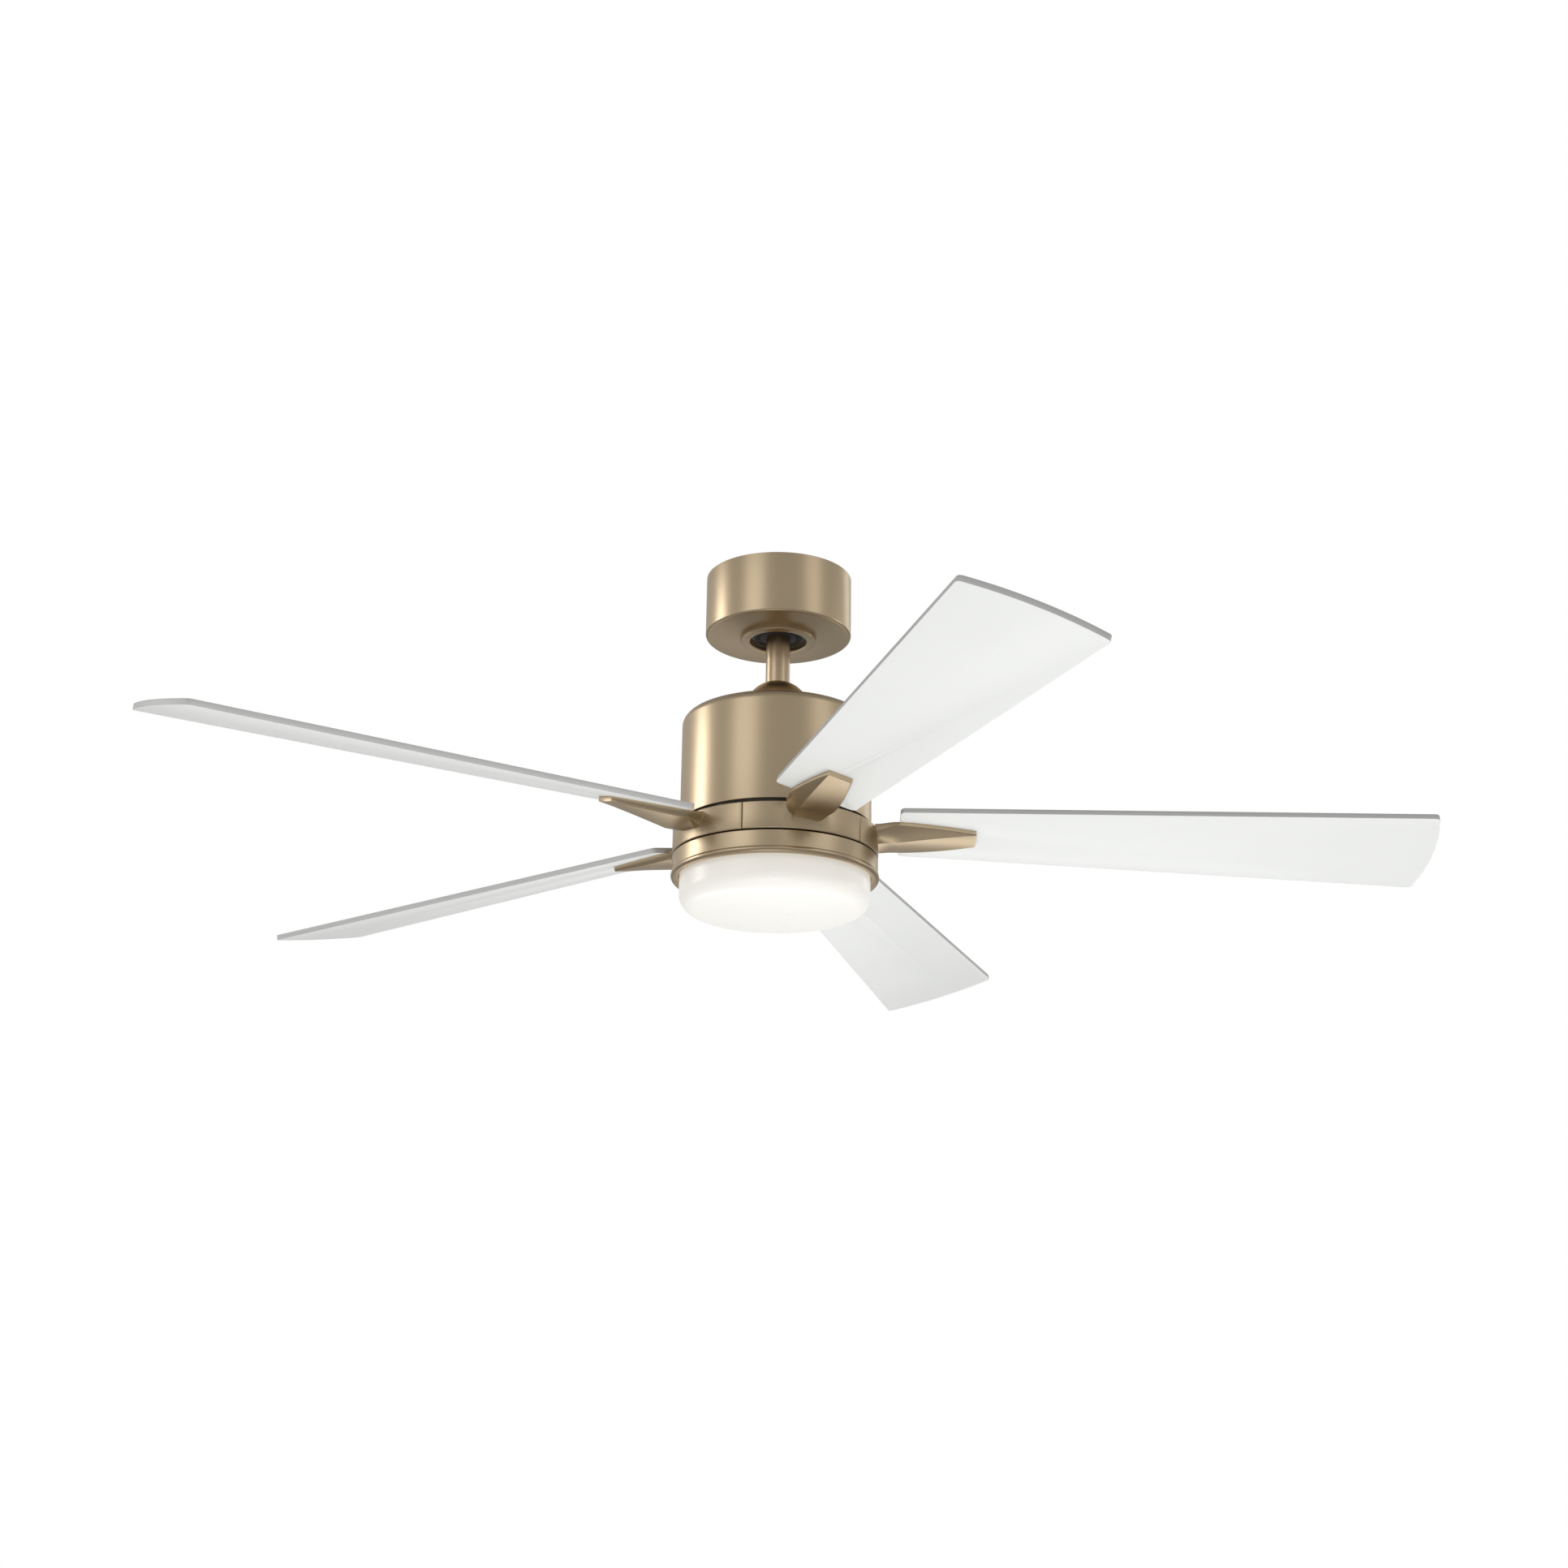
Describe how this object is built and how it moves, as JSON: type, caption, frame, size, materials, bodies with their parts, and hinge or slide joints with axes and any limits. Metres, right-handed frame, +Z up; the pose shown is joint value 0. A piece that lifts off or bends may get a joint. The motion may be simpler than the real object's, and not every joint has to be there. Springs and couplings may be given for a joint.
{
  "type": "ceiling fan with light",
  "caption": "Ceiling fan on a short downrod: cylindrical canopy and motor housing, flat flared blades on keeled arms, and a shallow opal glass light underneath.",
  "frame": {"origin": "centre of the ceiling plane, between the two outlet box slots", "axes": "+Z up along the downrod, so that the fan hangs below zero; +X along blade 1 and along the line of the two slots"},
  "size_m": [1.2254, 1.2806, 0.363],
  "materials": {
    "champagne_steel": "satin champagne bronze plating on pressed steel",
    "champagne_cast": "satin champagne bronze plating on die-cast metal",
    "white_blade": "satin white lacquer on plywood board",
    "opal_glass": "satin-etched opal glass, lit from inside",
    "zinc_steel": "bright zinc plating",
    "dark_steel": "oiled dark steel",
    "black_plastic": "moulded, fine texture",
    "green_paint": "green dyed grounding screw",
    "cast_aluminium": "as cast, fine grain",
    "copper_wire": "enamelled copper",
    "white_enamel": "white enamel",
    "led_phosphor": "yellow phosphor under clear resin, emissive",
    "red_insulation": "soft insulated leads"
  },
  "bodies": {
    "ceiling_mount": {"hanger_bracket": "dark_steel", "ground_screw": "green_paint", "control_receiver": "black_plastic", "canopy": "champagne_steel", "canopy_screws": "zinc_steel", "canopy_ring": "champagne_steel"},
    "ball_liner": {"ball_liner": "black_plastic"},
    "hanging_body": {"hanger_ball": "black_plastic", "ball_cross_pin": "zinc_steel", "ball_set_screw": "dark_steel", "downrod": "champagne_steel", "coupling_cover": "champagne_steel", "motor_coupling": "cast_aluminium", "coupling_pin": "zinc_steel", "coupling_cotter": "zinc_steel", "coupling_set_screws": "dark_steel", "motor_housing": "champagne_steel", "housing_screws": "champagne_steel", "motor_shaft": "zinc_steel", "stator_core": "dark_steel", "stator_windings": "copper_wire", "lead_bundle": "red_insulation", "light_pan": "cast_aluminium", "shaft_nuts": "zinc_steel", "led_driver": "white_enamel", "driver_screws": "zinc_steel", "run_capacitor": "black_plastic", "capacitor_screws": "zinc_steel", "light_ring": "champagne_steel", "ring_screws": "zinc_steel", "bayonet_pins": "zinc_steel", "led_board": "white_enamel", "led_chips": "led_phosphor", "board_screws": "zinc_steel"},
    "rotor": {"upper_bearing": "zinc_steel", "lower_bearing": "zinc_steel", "rotor_top_cover": "cast_aluminium", "rotor_bottom_cover": "cast_aluminium", "rotor_ring": "dark_steel", "rotor_screws": "zinc_steel", "blade_hub": "cast_aluminium", "hub_screws": "zinc_steel", "arm_screws": "zinc_steel", "blade_arm_1": "champagne_cast", "blade_arm_2": "champagne_cast", "blade_arm_3": "champagne_cast", "blade_arm_4": "champagne_cast", "blade_arm_5": "champagne_cast", "blade_1": "white_blade", "blade_2": "white_blade", "blade_3": "white_blade", "blade_4": "white_blade", "blade_5": "white_blade", "blade_washers": "zinc_steel", "blade_screws": "champagne_steel"},
    "shade": {"shade_collar": "cast_aluminium", "glass_shade": "opal_glass"}
  },
  "joints": [
    {"name": "ball_tilt_x", "type": "hinge", "parent": "ceiling_mount", "child": "ball_liner", "pos_m": [0, 0, -0.04], "axis": [1, 0, 0], "range_deg": [-12, 12]},
    {"name": "ball_tilt_y", "type": "hinge", "parent": "ball_liner", "child": "hanging_body", "pos_m": [0, 0, -0.04], "axis": [0, 1, 0], "range_deg": [-12, 12]},
    {"name": "rotor_spin", "type": "hinge", "parent": "hanging_body", "child": "rotor", "pos_m": [0, 0, -0.234], "axis": [0, 0, 1], "continuous": true},
    {"name": "shade_twist", "type": "hinge", "parent": "hanging_body", "child": "shade", "pos_m": [0, 0, -0.314], "axis": [0, 0, -1], "range_deg": [0, 25]}
  ]
}
